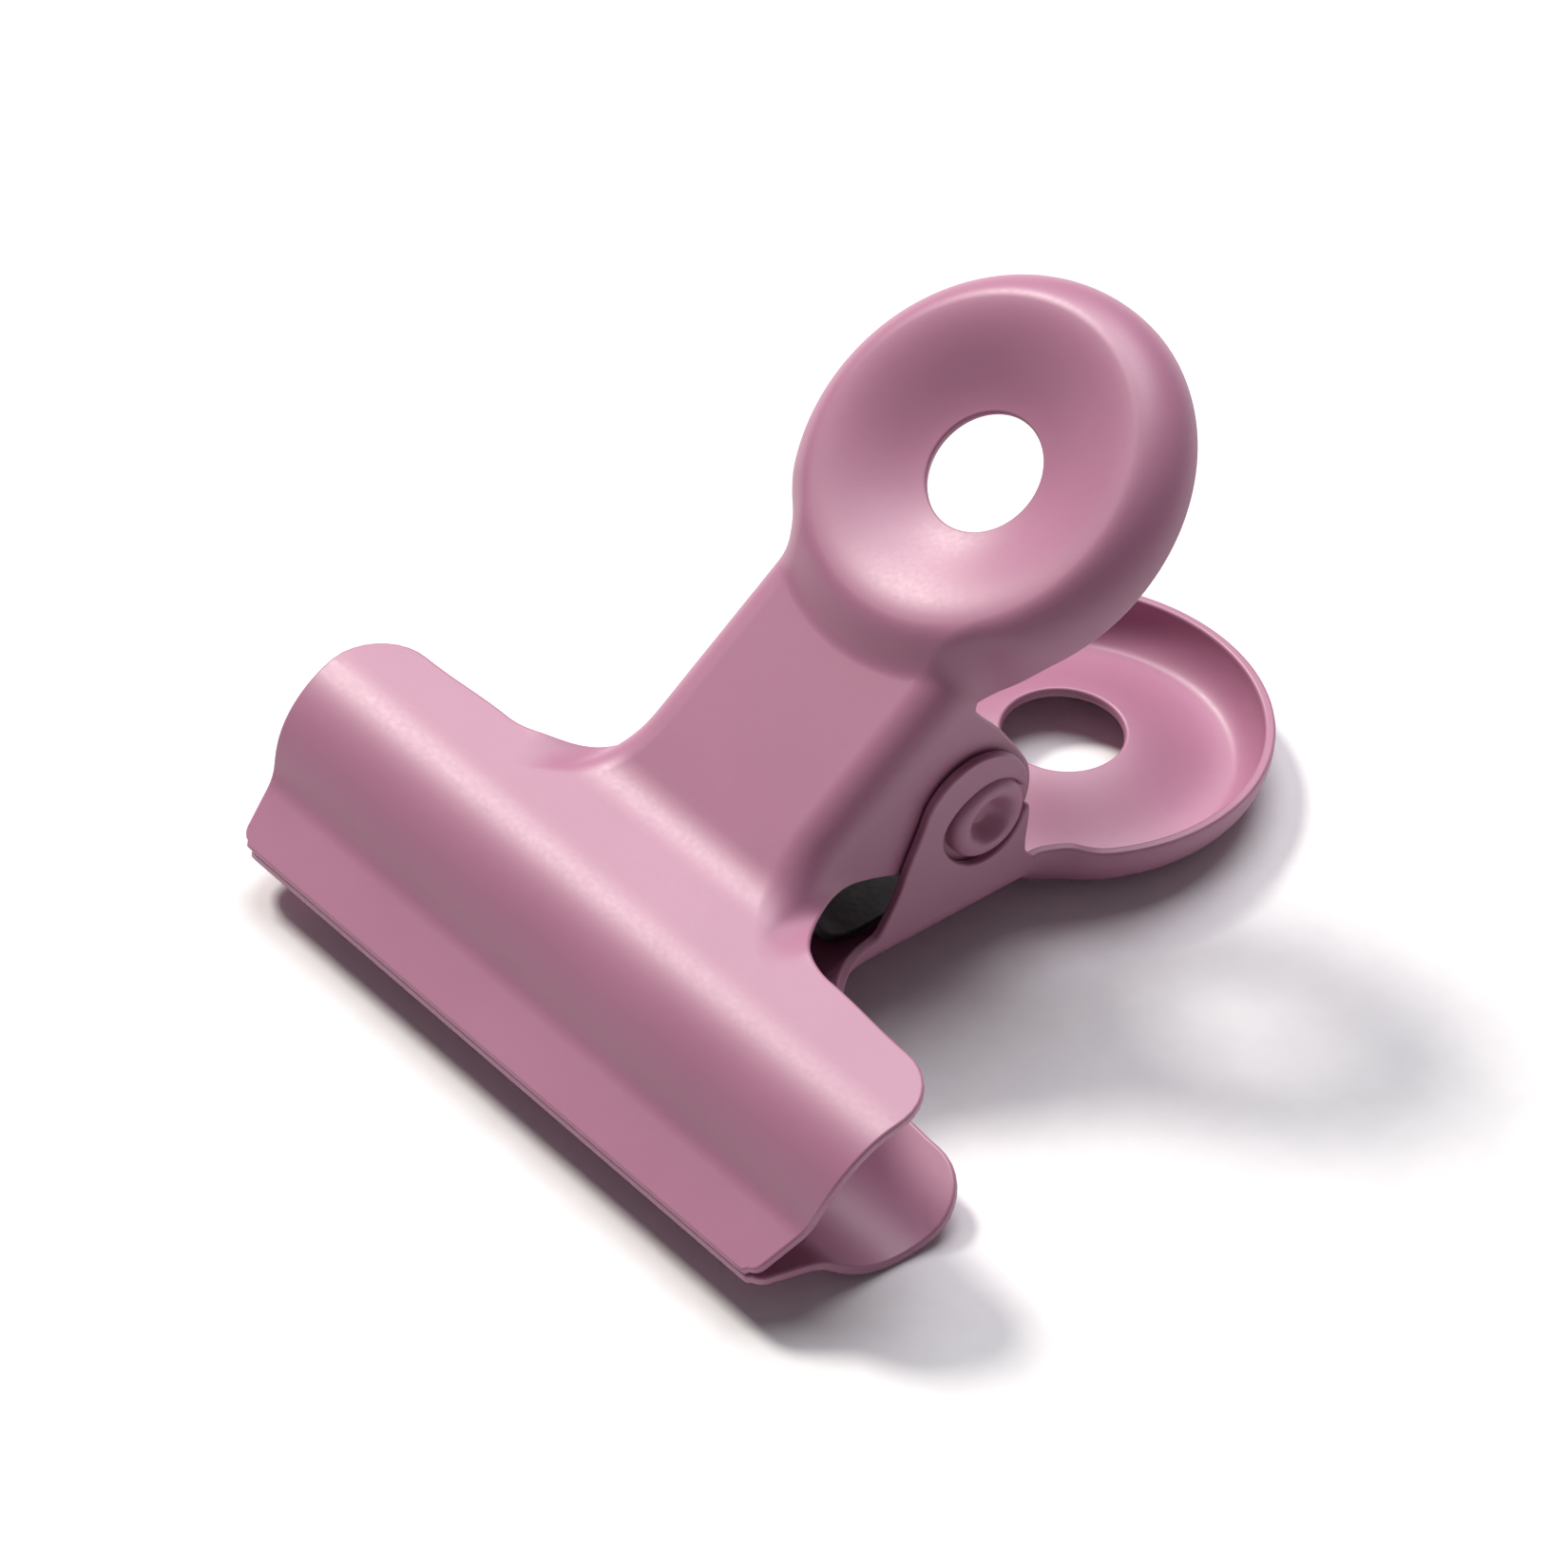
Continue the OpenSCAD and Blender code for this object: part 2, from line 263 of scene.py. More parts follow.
class Border:
    """Half of the border from the middle of the lip to the top of the disc, station by station."""

    def __init__(self, neck_half, web_wall, rear_wall):
        self.rows = []
        self.inner = neck_half - NECK_FOLD_R
        self.web_wall = web_wall
        self.rear_wall = rear_wall
        self.jaw()
        self.web()
        self.neck()
        self.disc()

    def put(self, x, s, n, fold, angle, wall, crest=0.0):
        """Adds stations: spine, outward normal, fold radius and angle, wall, share of the crest bend."""
        values = np.broadcast_arrays(np.atleast_1d(x), s, n[0], n[1], fold, angle, wall, crest)
        self.rows.append(np.stack(values, -1)[1 if self.rows else 0:])

    def jaw(self):
        strip, wide = FLAT_STRIP, NECK_FOLD_R
        flat = dict(fold=NECK_FOLD_R, angle=0.0)
        lip_x = LIP_HALF - LIP_CORNER
        x = np.linspace(0, lip_x, int(lip_x / ALONG))
        self.put(x, strip, (0 * x, -1 + 0 * x), wall=strip, **flat)
        knee_blend = 0.5

        def half_width(s):
            past = knee_blend * np.logaddexp(0, (s - END_KNEE) / knee_blend)
            return LIP_HALF + END_FLARE * (s - LIP_CORNER) - (END_FLARE - END_REAR_FLARE) * past

        side_s = np.arange(LIP_CORNER, REAR_S - REAR_CORNER, ALONG)
        side_s = np.append(side_s, REAR_S - REAR_CORNER)
        slope = (half_width(side_s + 0.01) - half_width(side_s - 0.01)) / 0.02
        nx, ns = 1 / np.hypot(1, slope), -slope / np.hypot(1, slope)
        first = math.atan2(ns[0], nx[0])
        a = np.linspace(-math.pi / 2, first, 7)
        c = (half_width(side_s[0]) - LIP_CORNER * math.cos(first), side_s[0] - LIP_CORNER * math.sin(first))
        r = LIP_CORNER - strip
        self.put(c[0] + r * np.cos(a), c[1] + r * np.sin(a), (np.cos(a), np.sin(a)), wall=strip, **flat)
        self.put(half_width(side_s) - strip * nx, side_s - strip * ns, (nx, ns), wall=strip, **flat)
        last = math.atan2(ns[-1], nx[-1])
        a = np.linspace(last, math.pi / 2, 10)
        c = (half_width(side_s[-1]) - REAR_CORNER * math.cos(last), side_s[-1] - REAR_CORNER * math.sin(last))
        w = strip + (wide - strip) * smooth((a - last) / (math.pi / 2 - last))
        r = REAR_CORNER - w
        self.put(c[0] + r * np.cos(a), c[1] + r * np.sin(a), (np.cos(a), np.sin(a)), wall=w, **flat)
        self.rear_s = c[1] + REAR_CORNER
        web_x = self.inner + NECK_FOLD_R + WEB_R
        x = np.linspace(c[0], web_x, int((c[0] - web_x) / ALONG))
        out = wide + WEB_OUT * smooth((c[0] - x) / (c[0] - web_x))
        self.put(x, self.rear_s - wide, (0 * x, 1 + 0 * x), wall=out, **flat)

    def web(self):
        """The rounding between jaw and neck, where the border starts to turn down."""
        r = WEB_R + NECK_FOLD_R
        self.web_s = self.rear_s + WEB_R
        x0 = self.inner + r
        u = np.linspace(0, 1, 34)
        a = -math.pi / 2 * (1 + u)
        flat_part, spread = 0.22, 0.3
        turned = math.pi / 2 * smooth((u - flat_part) / (1 - flat_part))
        fold = NECK_FOLD_R - SHEET / 2
        neck_total = fold * math.pi / 2 + self.web_wall
        start = NECK_FOLD_R + WEB_OUT
        total = start + spread * u + (neck_total - start - spread) * u ** 5
        wall = total - fold * turned
        self.put(x0 + r * np.cos(a), self.web_s + r * np.sin(a), (-np.cos(a), -np.sin(a)),
                 fold=fold, angle=turned, wall=wall)

    def neck(self):
        self.waist_x = self.inner + WAIST_R
        self.waist_s = HOLE_S - math.sqrt((CREST_R + WAIST_R) ** 2 - self.waist_x ** 2)
        s = np.linspace(self.web_s, self.waist_s, int((self.waist_s - self.web_s) / ALONG))
        u = smooth((s - self.web_s) / (self.ear_end() - self.web_s))
        wall = self.web_wall + (self.rear_wall - self.web_wall) * u
        self.put(0 * s + self.inner, s, (1 + 0 * s, 0 * s), fold=NECK_FOLD_R - SHEET / 2,
                 angle=math.pi / 2, wall=wall)

    def ear_end(self):
        return NECK_S + EAR_END

    def disc(self):
        """The waist's rounding and the rim of the disc."""
        touch = math.atan2(HOLE_S - self.waist_s, -self.waist_x)
        a = np.linspace(math.pi, touch, int(WAIST_R * (math.pi - touch) / ALONG) + 2)
        u = smooth(np.linspace(0, 1, len(a)))
        fold = NECK_FOLD_R + (RIM_FOLD_R - NECK_FOLD_R) * u - SHEET / 2
        wall = self.rear_wall + (RIM_DROP - self.rear_wall) * u
        self.put(self.waist_x + WAIST_R * np.cos(a), self.waist_s + WAIST_R * np.sin(a),
                 (-np.cos(a), -np.sin(a)), fold=fold, angle=math.pi / 2, wall=wall, crest=u)
        b = np.linspace(touch - math.pi, math.pi / 2, int(CREST_R * (1.5 * math.pi - touch) / ALONG))
        self.put(CREST_R * np.cos(b), HOLE_S + CREST_R * np.sin(b), (np.cos(b), np.sin(b)),
                 fold=RIM_FOLD_R - SHEET / 2, angle=math.pi / 2, wall=RIM_DROP, crest=1.0)

    def loop(self):
        """Stations of the whole border, counterclockwise on the blank."""
        half = np.concatenate(self.rows)
        other = half[-2:0:-1] * np.array([-1, 1, -1, 1, 1, 1, 1, 1])
        return np.concatenate([half, other])


def border_grid(stations):
    """Middle of the border strip, as points and normals of [station, row]."""
    x, s, nx, ns, fold, angle, wall, crest = (stations[:, k:k + 1] for k in range(8))
    tight = np.radians(CREST_BEND) * crest
    wide = (fold - CREST_BEND_R * np.sin(tight)) / (1 - np.sin(tight))
    first = CREST_BEND_R * tight
    m = (first + wide * (angle - tight) + wall - EDGE_R) * np.linspace(0, 1, ACROSS_ROWS + 1)[None, :]
    turned = np.where(m < first, m / CREST_BEND_R, tight + (m - first) / wide)
    turned = np.minimum(turned, angle)
    early = np.minimum(turned, tight)
    flat = np.maximum(m - first - wide * (angle - tight), 0) * (turned >= angle)
    out = CREST_BEND_R * np.sin(early) + wide * (np.sin(turned) - np.sin(early)) + flat * np.cos(angle)
    drop = CREST_BEND_R * (1 - np.cos(early)) + wide * (np.cos(early) - np.cos(turned)) + flat * np.sin(angle)
    points = sheet_point(x + nx * out, s + ns * out, drop)
    lengthwise = np.roll(points, -1, 0) - np.roll(points, 1, 0)
    crosswise = np.gradient(points, axis=1)
    normals = unit(np.cross(crosswise, lengthwise))
    normals[:, 0] = sheet_normal(x[:, 0], s[:, 0])
    return points, -normals if normals[0, 1, 2] < 0 else normals


# ---------------------------------------------------------------- filling

def inside(points, loop):
    """Which of the points lie inside a closed loop."""
    x, y = points[:, :1], points[:, 1:]
    ax, ay = loop[:, 0], loop[:, 1]
    bx, by = np.roll(ax, -1), np.roll(ay, -1)
    crossing = (ay > y) != (by > y)
    at = ax + (y - ay) * (bx - ax) / np.where(by == ay, 1e-12, by - ay)
    return (crossing & (x < at)).sum(1) % 2 == 1


def clear_of(points, others, gap):
    keep = np.ones(len(points), bool)
    for k in range(0, len(points), 512):
        d = points[k:k + 512, None] - others[None]
        keep[k:k + 512] = (d ** 2).sum(-1).min(1) > gap ** 2
    return points[keep]


def fill(outer, holes, extra):
    """Triangles between loops of plane points, counterclockwise, with extra points inside."""
    loops = [outer] + holes
    points = np.concatenate(loops + [extra])
    edges, first = [], 0
    for loop in loops:
        n = len(loop)
        edges += [(first + k, first + (k + 1) % n) for k in range(n)]
        first += n
    result = delaunay_2d_cdt([Vector(p) for p in points], edges, [list(range(len(outer)))], 1, 1e-6)
    origin = [o[0] if o else -1 for o in result[3]]
    triangles = []
    for face in result[2]:
        f = [origin[i] for i in face]
        c = points[f].mean(0)[None]
        if any(inside(c, h)[0] for h in holes):
            continue
        p, q, r = points[f]
        area = (q[0] - p[0]) * (r[1] - p[1]) - (q[1] - p[1]) * (r[0] - p[0])
        if abs(area) > 1e-9:
            triangles.append(f if area > 0 else f[::-1])
    return points, triangles


def ring(centre, r, n):
    a = np.arange(n) * 2 * math.pi / n
    return np.stack([centre[0] + r * np.cos(a), centre[1] + r * np.sin(a)], -1)


def blank_points(spine):
    """Points inside the spine: rings round the hang hole, and rows over neck and jaw."""
    centre = (0.0, HOLE_S)
    rings = [
        ring(centre, r, int(2 * math.pi * r / 0.3))
        for r in np.arange(HOLE_R + EDGE_R + RING_STEP, CREST_R + RING_REACH, RING_STEP)
    ]
    polar = np.concatenate(rings)
    x = np.arange(-16.0, 16.0 + FILL, FILL) + FILL / 2
    s = np.arange(0.2, HOLE_S, FILL_ALONG)
    rows = np.stack(np.meshgrid(x, s), -1).reshape(-1, 2)
    rows = rows[np.hypot(rows[:, 0], rows[:, 1] - HOLE_S) > CREST_R + RING_REACH + 0.05]
    points = np.concatenate([polar, rows])
    return clear_of(points[inside(points, spine)], spine, 0.15)


# ---------------------------------------------------------------- ears

def spline(points, step):
    """A smooth curve through the points, resampled at about the step."""
    p = np.asarray(points, float)
    p = np.concatenate([2 * p[:1] - p[1:2], p, 2 * p[-1:] - p[-2:-1]])
    out = []
    for k in range(1, len(p) - 2):
        n = max(2, int(np.linalg.norm(p[k + 1] - p[k]) / step))
        t = np.linspace(0, 1, n, endpoint=False)[:, None]
        out.append(0.5 * (
            2 * p[k] + (p[k + 1] - p[k - 1]) * t
            + (2 * p[k - 1] - 5 * p[k] + 4 * p[k + 1] - p[k + 2]) * t ** 2
            + (3 * p[k] - p[k - 1] - 3 * p[k + 1] + p[k + 2]) * t ** 3
        ))
    return np.concatenate(out + [p[-2:-1]])


def arc(centre, r, start, stop, n):
    a = np.radians(np.linspace(start, stop, n))
    return [(centre[0] + r * math.cos(t), centre[1] + r * math.sin(t)) for t in a]


def ear_frame(y, z):
    """A point of the ear, as (distance back along the fold from the neck bend, depth under the neck)."""
    y0, z0, a = along(PLATE, NECK_S)
    dy, dz = y - y0, z - z0
    return dy * math.cos(a) + dz * math.sin(a), dy * math.sin(a) - dz * math.cos(a)


def ear_outline(name, start, end):
    """Outline of an ear from the web to the skirt behind it, as (u, depth)."""
    if name == "upper":
        lobe = ear_frame(PIVOT_Y, PIVOT_Z)
        front = [start, (start[0] + 0.45, start[1] + 0.65), (start[0] + 1.0, start[1] + 1.6)]
        lobe_from, lobe_to = 165, 2
        rear = [(lobe[0] + LOBE_R, 4.2), (8.55, 2.7), (8.6, 2.0), (9.0, 1.6)]
    else:
        lobe = ear_frame(PIVOT_Y - LOBE_BACK, 0.0)
        front = [start, (2.0, 1.75), (2.7, 3.0), (3.12, 4.2)]
        lobe_from, lobe_to = 170, 2
        rear = [(8.56, 4.0), (8.5, 2.7), (8.58, 2.0), (8.95, 1.6)]
    r = LOBE_R - EDGE_R
    curve = front + arc(lobe, r, lobe_from, lobe_to, 9) + rear + [end]
    return spline(curve, 0.16)


def hinge_hole():
    """The lower ear's hole: round, with a pressed relief towards the front, as (u, depth)."""
    centre = ear_frame(PIVOT_Y, -PIVOT_Z)
    a = np.linspace(0, 2 * math.pi, 72, endpoint=False)
    facing, spread, depth = math.radians(168), 0.62, 0.3
    relief = np.exp(-((np.angle(np.exp(1j * (a - facing))) / spread) ** 2))
    r = TRUNNION_R + TRUNNION_FIT + EDGE_R + depth * relief
    return np.stack([centre[0] + r * np.cos(a), centre[1] + r * np.sin(a)], -1)


# ---------------------------------------------------------------- solids

class Shell:
    """The middle of a sheet: points, normals and faces that are gathered piece by piece."""

    def __init__(self):
        self.points, self.normals, self.faces = np.zeros((0, 3)), np.zeros((0, 3)), []

    def add(self, points, normals):
        first = len(self.points)
        self.points = np.concatenate([self.points, points])
        self.normals = np.concatenate([self.normals, normals])
        return first

    def boundary(self):
        edges = {(f[k], f[(k + 1) % len(f)]) for f in self.faces for k in range(len(f))}
        return [(a, b) for a, b in edges if (b, a) not in edges]

    def solid(self, thickness=SHEET, edge_r=EDGE_R):
        """Both faces of the sheet, and a rounded edge round every border."""
        p, n, count = self.points, unit(self.normals), len(self.points)
        boundary = sorted(self.boundary())
        outward = np.zeros_like(p)
        for a, b in boundary:
            o = unit(np.cross(p[b] - p[a], n[a] + n[b]))
            outward[a] += o
            outward[b] += o
        outward -= (outward * n).sum(1, keepdims=True) * n
        outward = unit(outward)
        half = thickness / 2
        points, normals = [p + n * half, p - n * half], [n, -n]
        faces = [list(f) for f in self.faces] + [[i + count for i in f[::-1]] for f in self.faces]
        rim = sorted({a for a, b in boundary})
        index = {v: k for k, v in enumerate(rim)}
        turns = np.radians([30, 60, 90, 90, 120, 150])
        rings = []
        for k, t in enumerate(turns):
            level = (half - edge_r) * (1 if k < 3 else -1)
            h = level + edge_r * math.cos(t)
            points.append(p[rim] + outward[rim] * edge_r * math.sin(t) + n[rim] * h)
            normals.append(outward[rim] * math.sin(t) + n[rim] * math.cos(t))
            rings.append(2 * count + k * len(rim))
        for a, b in boundary:
            i, j = index[a], index[b]
            left = [b] + [r + j for r in rings] + [b + count]
            right = [a] + [r + i for r in rings] + [a + count]
            faces += [[left[k], right[k], right[k + 1], left[k + 1]] for k in range(len(left) - 1)]
        return np.concatenate(points), unit(np.concatenate(normals)), faces


def make_object(name, points, normals, faces, material):
    """A smooth mesh object from points in the clip's own plane."""
    mesh = bpy.data.meshes.new(name)
    mesh.from_pydata([tuple(v) for v in placed(points)], [], faces)
    mesh.polygons.foreach_set("use_smooth", [True] * len(mesh.polygons))
    mesh.validate()
    mesh.normals_split_custom_set_from_vertices([tuple(v) for v in placed_directions(normals)])
    mesh.materials.append(material)
    piece = bpy.data.objects.new(name, mesh)
    bpy.context.scene.collection.objects.link(piece)
    return piece


def plate_shell(name):
    """The middle of one plate, drawn as the upper one."""
    upper = name == "upper"
    neck_half = NECK_HALF[name]
    border = Border(neck_half, web_wall=1.8 if upper else 0.15, rear_wall=0.15)
    stations = border.loop()
    points, normals = border_grid(stations)
    count, rows = points.shape[:2]
    shell = Shell()
    shell.add(points.reshape(-1, 3), normals.reshape(-1, 3))
    for i in range(count):
        j = (i + 1) % count
        for k in range(rows - 1):
            shell.faces.append([i * rows + k + 1, j * rows + k + 1, j * rows + k, i * rows + k])
    spine = stations[:, :2]
    hole = ring((0.0, HOLE_S), HOLE_R + EDGE_R, 96)
    blank, triangles = fill(spine, [hole], blank_points(spine))
    new = blank[len(spine):]
    first = shell.add(sheet_point(new[:, 0], new[:, 1]), sheet_normal(new[:, 0], new[:, 1]))
    number = [i * rows for i in range(count)] + list(range(first, first + len(new)))
    shell.faces += [[number[i] for i in f] for f in triangles]
    add_ears(shell, name, border, stations, rows)
    return shell


def add_ears(shell, name, border, stations, rows):
    """Both ears, hung from the lower edge of the neck's turned-down border."""
    straight = (np.abs(stations[:, 0] - border.inner) < 1e-6) & (stations[:, 1] >= border.web_s - 1e-6)
    straight &= stations[:, 1] <= border.ear_end()
    columns = np.nonzero(straight)[0]
    depth = NECK_FOLD_R + stations[columns, 6] - EDGE_R
    top = np.stack([stations[columns, 1] - NECK_S, depth], -1)
    outline = ear_outline(name, tuple(top[0]), tuple(top[-1]))[1:-1]
    loop = np.concatenate([outline, top[::-1]]) * np.array([1, -1])
    holes = [] if name == "upper" else [hinge_hole() * np.array([1, -1])]
    grid = np.stack(np.meshgrid(np.arange(0, 11, 0.4), -np.arange(0.5, 10, 0.4)), -1).reshape(-1, 2)
    grid = grid[inside(grid, loop)]
    for h in holes:
        grid = grid[~inside(grid, h)]
    grid = clear_of(grid, np.concatenate([loop] + holes), 0.2)
    plane, triangles = fill(loop, holes, grid)
    fresh = np.ones(len(plane), bool)
    fresh[len(outline):len(loop)] = False
    wall_x = border.inner + NECK_FOLD_R - SHEET / 2
    total = len(stations)
    for sign in (1, -1):
        u, depth = plane[fresh, 0], -plane[fresh, 1]
        y, z, a = along(PLATE, NECK_S + u)
        h = depth - SHEET / 2
        points = np.stack([sign * wall_x + 0 * h, y + np.sin(a) * h, z - np.cos(a) * h], -1)
        first = shell.add(points, np.tile([sign, 0.0, 0.0], (len(points), 1)))
        number = np.zeros(len(plane), int)
        number[fresh] = first + np.arange(fresh.sum())
        at = columns[::-1] if sign > 0 else (total - columns[::-1]) % total
        number[~fresh] = at * rows + rows - 1
        for f in triangles:
            shell.faces.append([int(number[i]) for i in (f if sign > 0 else f[::-1])])


def make_plate(name, material):
    points, normals, faces = plate_shell(name).solid()
    if name == "lower":
        points = points * np.array([1, 1, -1])
        normals = normals * np.array([1, 1, -1])
        faces = [f[::-1] for f in faces]
    piece = make_object(f"{name}_plate_pressing", points, normals, faces, material)
    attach(piece, name)
    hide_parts(f"{name}_plate")
    return piece


def lathe(profile, count=72):
    """A closed solid turned round the hinge axis from (x, radius) points that start and end on the axis."""
    p = np.asarray(profile, float)
    a = np.arange(count) * 2 * math.pi / count
    body = p[1:-1]
    points = [(p[0, 0], 0.0, 0.0)]
    for x, r in body:
        points += [(x, r * math.cos(t), r * math.sin(t)) for t in a]
    points.append((p[-1, 0], 0.0, 0.0))
    faces = []
    for k in range(count):
        j = (k + 1) % count
        faces.append([0, 1 + j, 1 + k])
        for i in range(len(body) - 1):
            b0, b1 = 1 + i * count, 1 + (i + 1) * count
            faces.append([b0 + k, b0 + j, b1 + j, b1 + k])
        b = 1 + (len(body) - 1) * count
        faces.append([b + k, b + j, len(points) - 1])
    return np.array(points), faces


def vertex_normals(points, faces):
    n = np.zeros_like(points)
    for f in faces:
        c = np.cross(points[f[1]] - points[f[0]], points[f[2]] - points[f[0]])
        if len(f) == 4:
            c = c + np.cross(points[f[2]] - points[f[0]], points[f[3]] - points[f[0]])
        for i in f:
            n[i] += c
    return unit(n)


def make_trunnion(side, material):
    """A hollow trunnion with a rolled rim, pressed out of the upper ear."""
    base = NECK_HALF["upper"] - SHEET / 2
    end = NECK_HALF["lower"] + TRUNNION_PROUD
    rim_r, bowl = 0.45, 0.7
    profile = [(base, 0.0)] + [(base, r) for r in (0.6, 1.2, TRUNNION_R)]
    profile += [(x, TRUNNION_R) for x in np.linspace(base + 0.1, end - rim_r, 5)]
    for t in np.radians(np.linspace(12, 90, 8)):
        profile.append((end - rim_r + rim_r * math.sin(t), TRUNNION_R - rim_r + rim_r * math.cos(t)))
    lip = TRUNNION_R - rim_r
    for u in np.linspace(0.08, 1, 14, endpoint=False):
        profile.append((end - bowl * smooth((u - 0.08) / 0.6), lip * (1 - u)))
    profile.append((end - bowl, 0.0))
    points, faces = lathe(profile)
    if side < 0:
        points = points * np.array([-1, 1, 1])
    else:
        faces = [f[::-1] for f in faces]
    normals = vertex_normals(points, faces)
    points = points + np.array([0, PIVOT_Y, PIVOT_Z])
    piece = make_object(f"trunnion_{'right' if side > 0 else 'left'}", points, normals, faces, material)
    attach(piece, "upper")
    return piece


def make_spring(material):
    """Strip spring: a loop in front of the hinge, whose arms press the handles apart."""
    middle_r = SPRING_LOOP_R - SHEET / 2
    quarter = math.radians(90 - SPRING_RISE)
    tip = math.radians(SPRING_RISE - HANDLE_ANGLE)
    stretches = [
        (middle_r * quarter, -quarter),
        (SPRING_ARM, 0.0),
        (SPRING_TIP_R * tip, -tip),
        (SPRING_TIP, 0.0),
    ]
    rows = path(stretches, (SPRING_FRONT + SHEET / 2, 0.0), 90)
    length = rows[-1, 0] + SPRING_TIP - EDGE_R
    stations, across = 141, 33
    s = np.linspace(-length, length, stations)
    corner = 0.7
    half = SPRING_W / 2 - EDGE_R - SPRING_TAPER * smooth(np.abs(s) / length)
    short = np.maximum(np.abs(s) - (length - corner), 0)
    width = half - corner + np.sqrt(np.maximum(corner ** 2 - short ** 2, 0)) * 0.999
    x = width[:, None] * np.linspace(-1, 1, across)[None]
    y, z, a = along(rows, np.abs(s))
    upper = np.where(s < 0, -1.0, 1.0)
    points = np.stack([x, y[:, None] + 0 * x, (z * upper)[:, None] + 0 * x], -1)
    normal = np.stack([0 * a, -np.sin(a), np.cos(a) * upper], -1)
    shell = Shell()
    shell.add(points.reshape(-1, 3), np.repeat(normal, across, 0))
    for i in range(stations - 1):
        for k in range(across - 1):
            c = i * across + k
            shell.faces.append([c, c + 1, c + across + 1, c + across])
    points, normals, faces = shell.solid()
    piece = make_object("strip_spring", points, normals, faces, material)
    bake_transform(piece)
    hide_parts("spring")
    return piece


# ---------------------------------------------------------------- materials

class Nodes:
    """Small helper for node materials."""

    def __init__(self, name):
        self.material = bpy.data.materials.new(name)
        self.material.use_nodes = True
        self.tree = self.material.node_tree
        self.tree.nodes.clear()
        self.output = self.add("ShaderNodeOutputMaterial")
        self.shader = self.add("ShaderNodeBsdfPrincipled")
        self.join(self.shader, "BSDF", self.output, "Surface")
        self.place = self.add("ShaderNodeTexCoord")

    def add(self, kind, **values):
        node = self.tree.nodes.new(kind)
        for key, value in values.items():
            setattr(node, key, value)
        return node

    def join(self, a, a_socket, b, b_socket):
        self.tree.links.new(a.outputs[a_socket], b.inputs[b_socket])

    def noise(self, size_mm, detail=3.0, rough=0.55):
        node = self.add("ShaderNodeTexNoise")
        node.inputs["Scale"].default_value = 1.0 / (size_mm * MM)
        node.inputs["Detail"].default_value = detail
        node.inputs["Roughness"].default_value = rough
        self.join(self.place, "Object", node, "Vector")
        return node

    def ramp(self, source, stops):
        node = self.add("ShaderNodeValToRGB")
        self.join(source, "Fac", node, "Fac")
        while len(node.color_ramp.elements) < len(stops):
            node.color_ramp.elements.new(0.5)
        for element, (at, colour) in zip(node.color_ramp.elements, stops):
            element.position = at
            element.color = (*colour, 1.0)
        return node

    def span(self, source, low, high, start=0.3, stop=0.7):
        node = self.add("ShaderNodeMapRange")
        self.join(source, "Fac", node, "Value")
        node.inputs["From Min"].default_value = start
        node.inputs["From Max"].default_value = stop
        node.inputs["To Min"].default_value = low
        node.inputs["To Max"].default_value = high
        return node

    def bump(self, source, height_mm, strength, under=None):
        node = self.add("ShaderNodeBump")
        node.inputs["Strength"].default_value = strength
        node.inputs["Distance"].default_value = height_mm * MM
        self.join(source, "Fac", node, "Height")
        if under:
            self.join(under, "Normal", node, "Normal")
        return node

    def set(self, **values):
        for key, value in values.items():
            self.shader.inputs[key.replace("_", " ")].default_value = value


def paint_material():
    """Satin rose enamel with a faint pearl and the fine grain of a powder finish."""
    m = Nodes("rose_enamel")
    cloud = m.noise(5.0, detail=4.0)
    colour = m.ramp(cloud, [(0.3, (0.385, 0.158, 0.250)), (0.7, (0.408, 0.171, 0.266))])
    m.join(colour, "Color", m.shader, "Base Color")
    rough = m.span(m.noise(0.2), 0.43, 0.48)
    m.join(rough, "Result", m.shader, "Roughness")
    peel = m.bump(m.noise(0.35, detail=2.0), 0.0012, 0.5)
    grain = m.bump(m.noise(0.08, detail=1.0), 0.0016, 0.5, under=peel)
    m.join(grain, "Normal", m.shader, "Normal")
    m.set(Metallic=0.0, Specular_IOR_Level=0.7, Coat_Weight=0.08, Coat_Roughness=0.4)
    return m.material


def steel_material():
    """Dark blued spring steel with drawn lines along the strip."""
    m = Nodes("blued_spring_steel")
    lines = m.noise(0.25, detail=4.0)
    colour = m.ramp(lines, [(0.3, (0.024, 0.022, 0.022)), (0.7, (0.046, 0.042, 0.042))])
    m.join(colour, "Color", m.shader, "Base Color")
    m.join(m.span(m.noise(0.5), 0.38, 0.52), "Result", m.shader, "Roughness")
    m.join(m.bump(lines, 0.004, 0.5), "Normal", m.shader, "Normal")
    m.set(Metallic=0.8)
    return m.material


def floor_material():
    """Matt white card."""
    m = Nodes("white_card")
    fibre = m.noise(1.5, detail=5.0)
    colour = m.ramp(fibre, [(0.3, (0.86, 0.86, 0.865)), (0.7, (0.90, 0.90, 0.905))])
    m.join(colour, "Color", m.shader, "Base Color")
    m.set(Roughness=0.9)
    return m.material


# ---------------------------------------------------------------- stage

def make_floor():
    half = 0.6
    mesh = bpy.data.meshes.new("floor")
    corners = [(-half, -half, 0), (half, -half, 0), (half, half, 0), (-half, half, 0)]
    mesh.from_pydata(corners, [], [[0, 1, 2, 3]])
    mesh.materials.append(floor_material())
    floor = bpy.data.objects.new("floor", mesh)
    bpy.context.scene.collection.objects.link(floor)
    clear = 0.00003
    floor.location.z = -clear


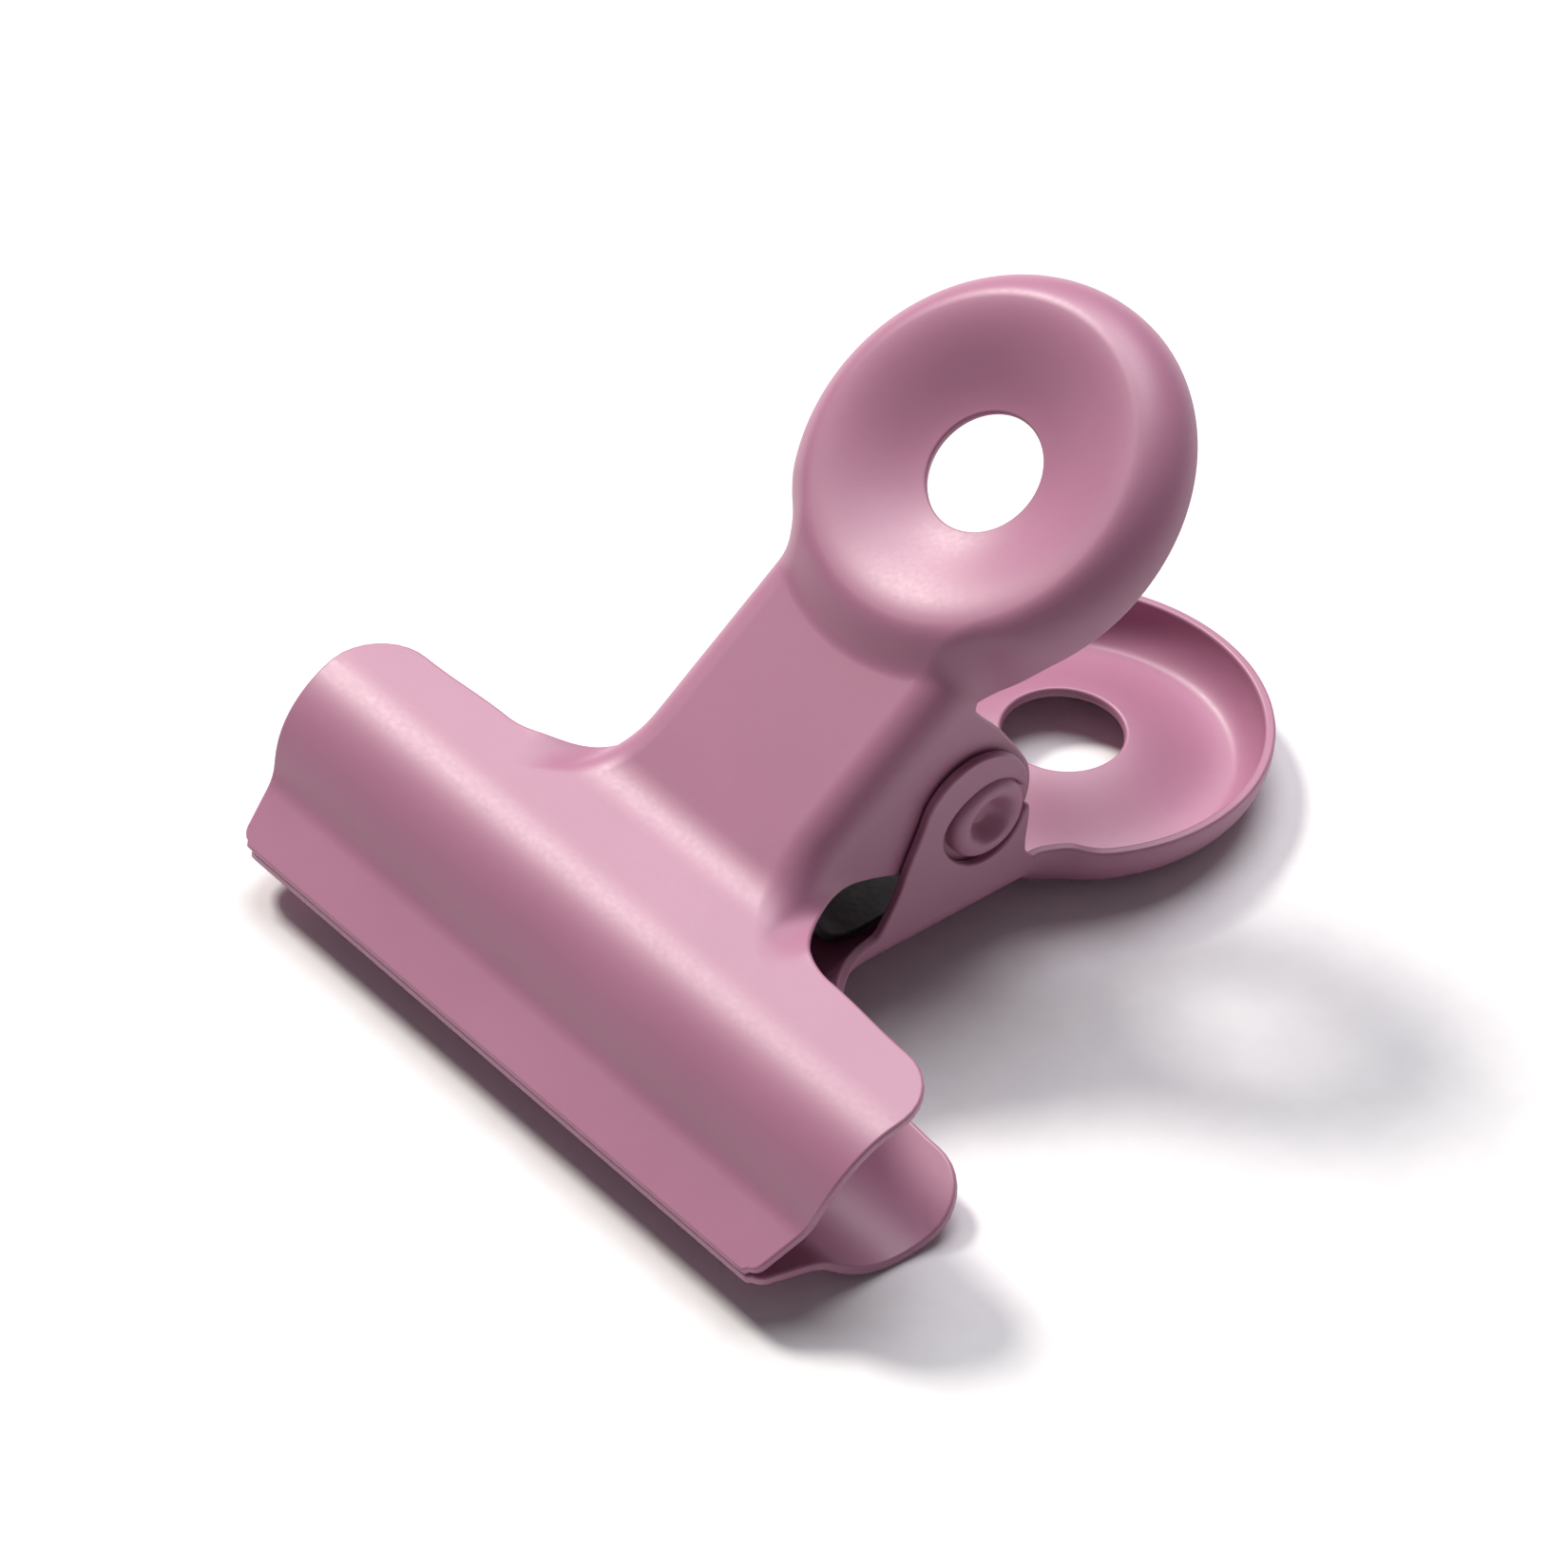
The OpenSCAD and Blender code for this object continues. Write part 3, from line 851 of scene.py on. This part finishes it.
def area_light(name, direction, distance, size, power, colour, target):
    data = bpy.data.lights.new(name, "AREA")
    data.shape = "DISK"
    data.size = size
    data.energy = power
    data.color = colour
    lamp = bpy.data.objects.new(name, data)
    bpy.context.scene.collection.objects.link(lamp)
    d = Vector(direction).normalized()
    lamp.location = Vector(target) + d * distance
    lamp.rotation_euler = d.to_track_quat("Z", "Y").to_euler()


def make_lights():
    target = (0.0, 0.0, 0.008)
    area_light("key", (-0.68, 0.0, 0.785), 0.7, 0.17, 4.4, (1.0, 0.96, 0.9), target)
    area_light("overhead", (-0.3, 0.45, 1.0), 0.6, 0.46, 2.9, (0.97, 0.96, 1.0), target)
    world = bpy.data.worlds.new("studio")
    bpy.context.scene.world = world
    world.use_nodes = True
    sky = world.node_tree.nodes["Background"]
    sky.inputs["Color"].default_value = (1.0, 0.92, 0.98, 1.0)
    sky.inputs["Strength"].default_value = 0.125
    bpy.context.scene.view_settings.view_transform = "Standard"


def make_camera():
    """Camera above the clip's right front corner, looking down at the jaw and the hinge."""
    azimuth, elevation, roll = math.radians(48.93), math.radians(42.53), math.radians(1.06)
    distance = 0.28783
    target = Vector((-0.00027, -0.00353, 0.00665))
    back = Vector((
        math.sin(azimuth) * math.cos(elevation),
        -math.cos(azimuth) * math.cos(elevation),
        math.sin(elevation),
    ))
    right = Vector((math.cos(azimuth), math.sin(azimuth), 0.0))
    up = back.cross(right)
    turned = right * math.cos(roll) + up * math.sin(roll)
    up = back.cross(turned)
    data = bpy.data.cameras.new("camera")
    data.sensor_width = 36.0
    data.lens = 188.23
    data.clip_start = 0.01
    camera = bpy.data.objects.new("camera", data)
    bpy.context.scene.collection.objects.link(camera)
    axes = Matrix((turned, up, back)).transposed()
    camera.matrix_world = Matrix.Translation(target + back * distance) @ axes.to_4x4()
    bpy.context.scene.camera = camera


# ---------------------------------------------------------------- build

enamel = paint_material()
make_plate("upper", enamel)
make_plate("lower", enamel)
for side in (1, -1):
    make_trunnion(side, enamel)
make_spring(steel_material())
make_floor()
make_lights()
make_camera()
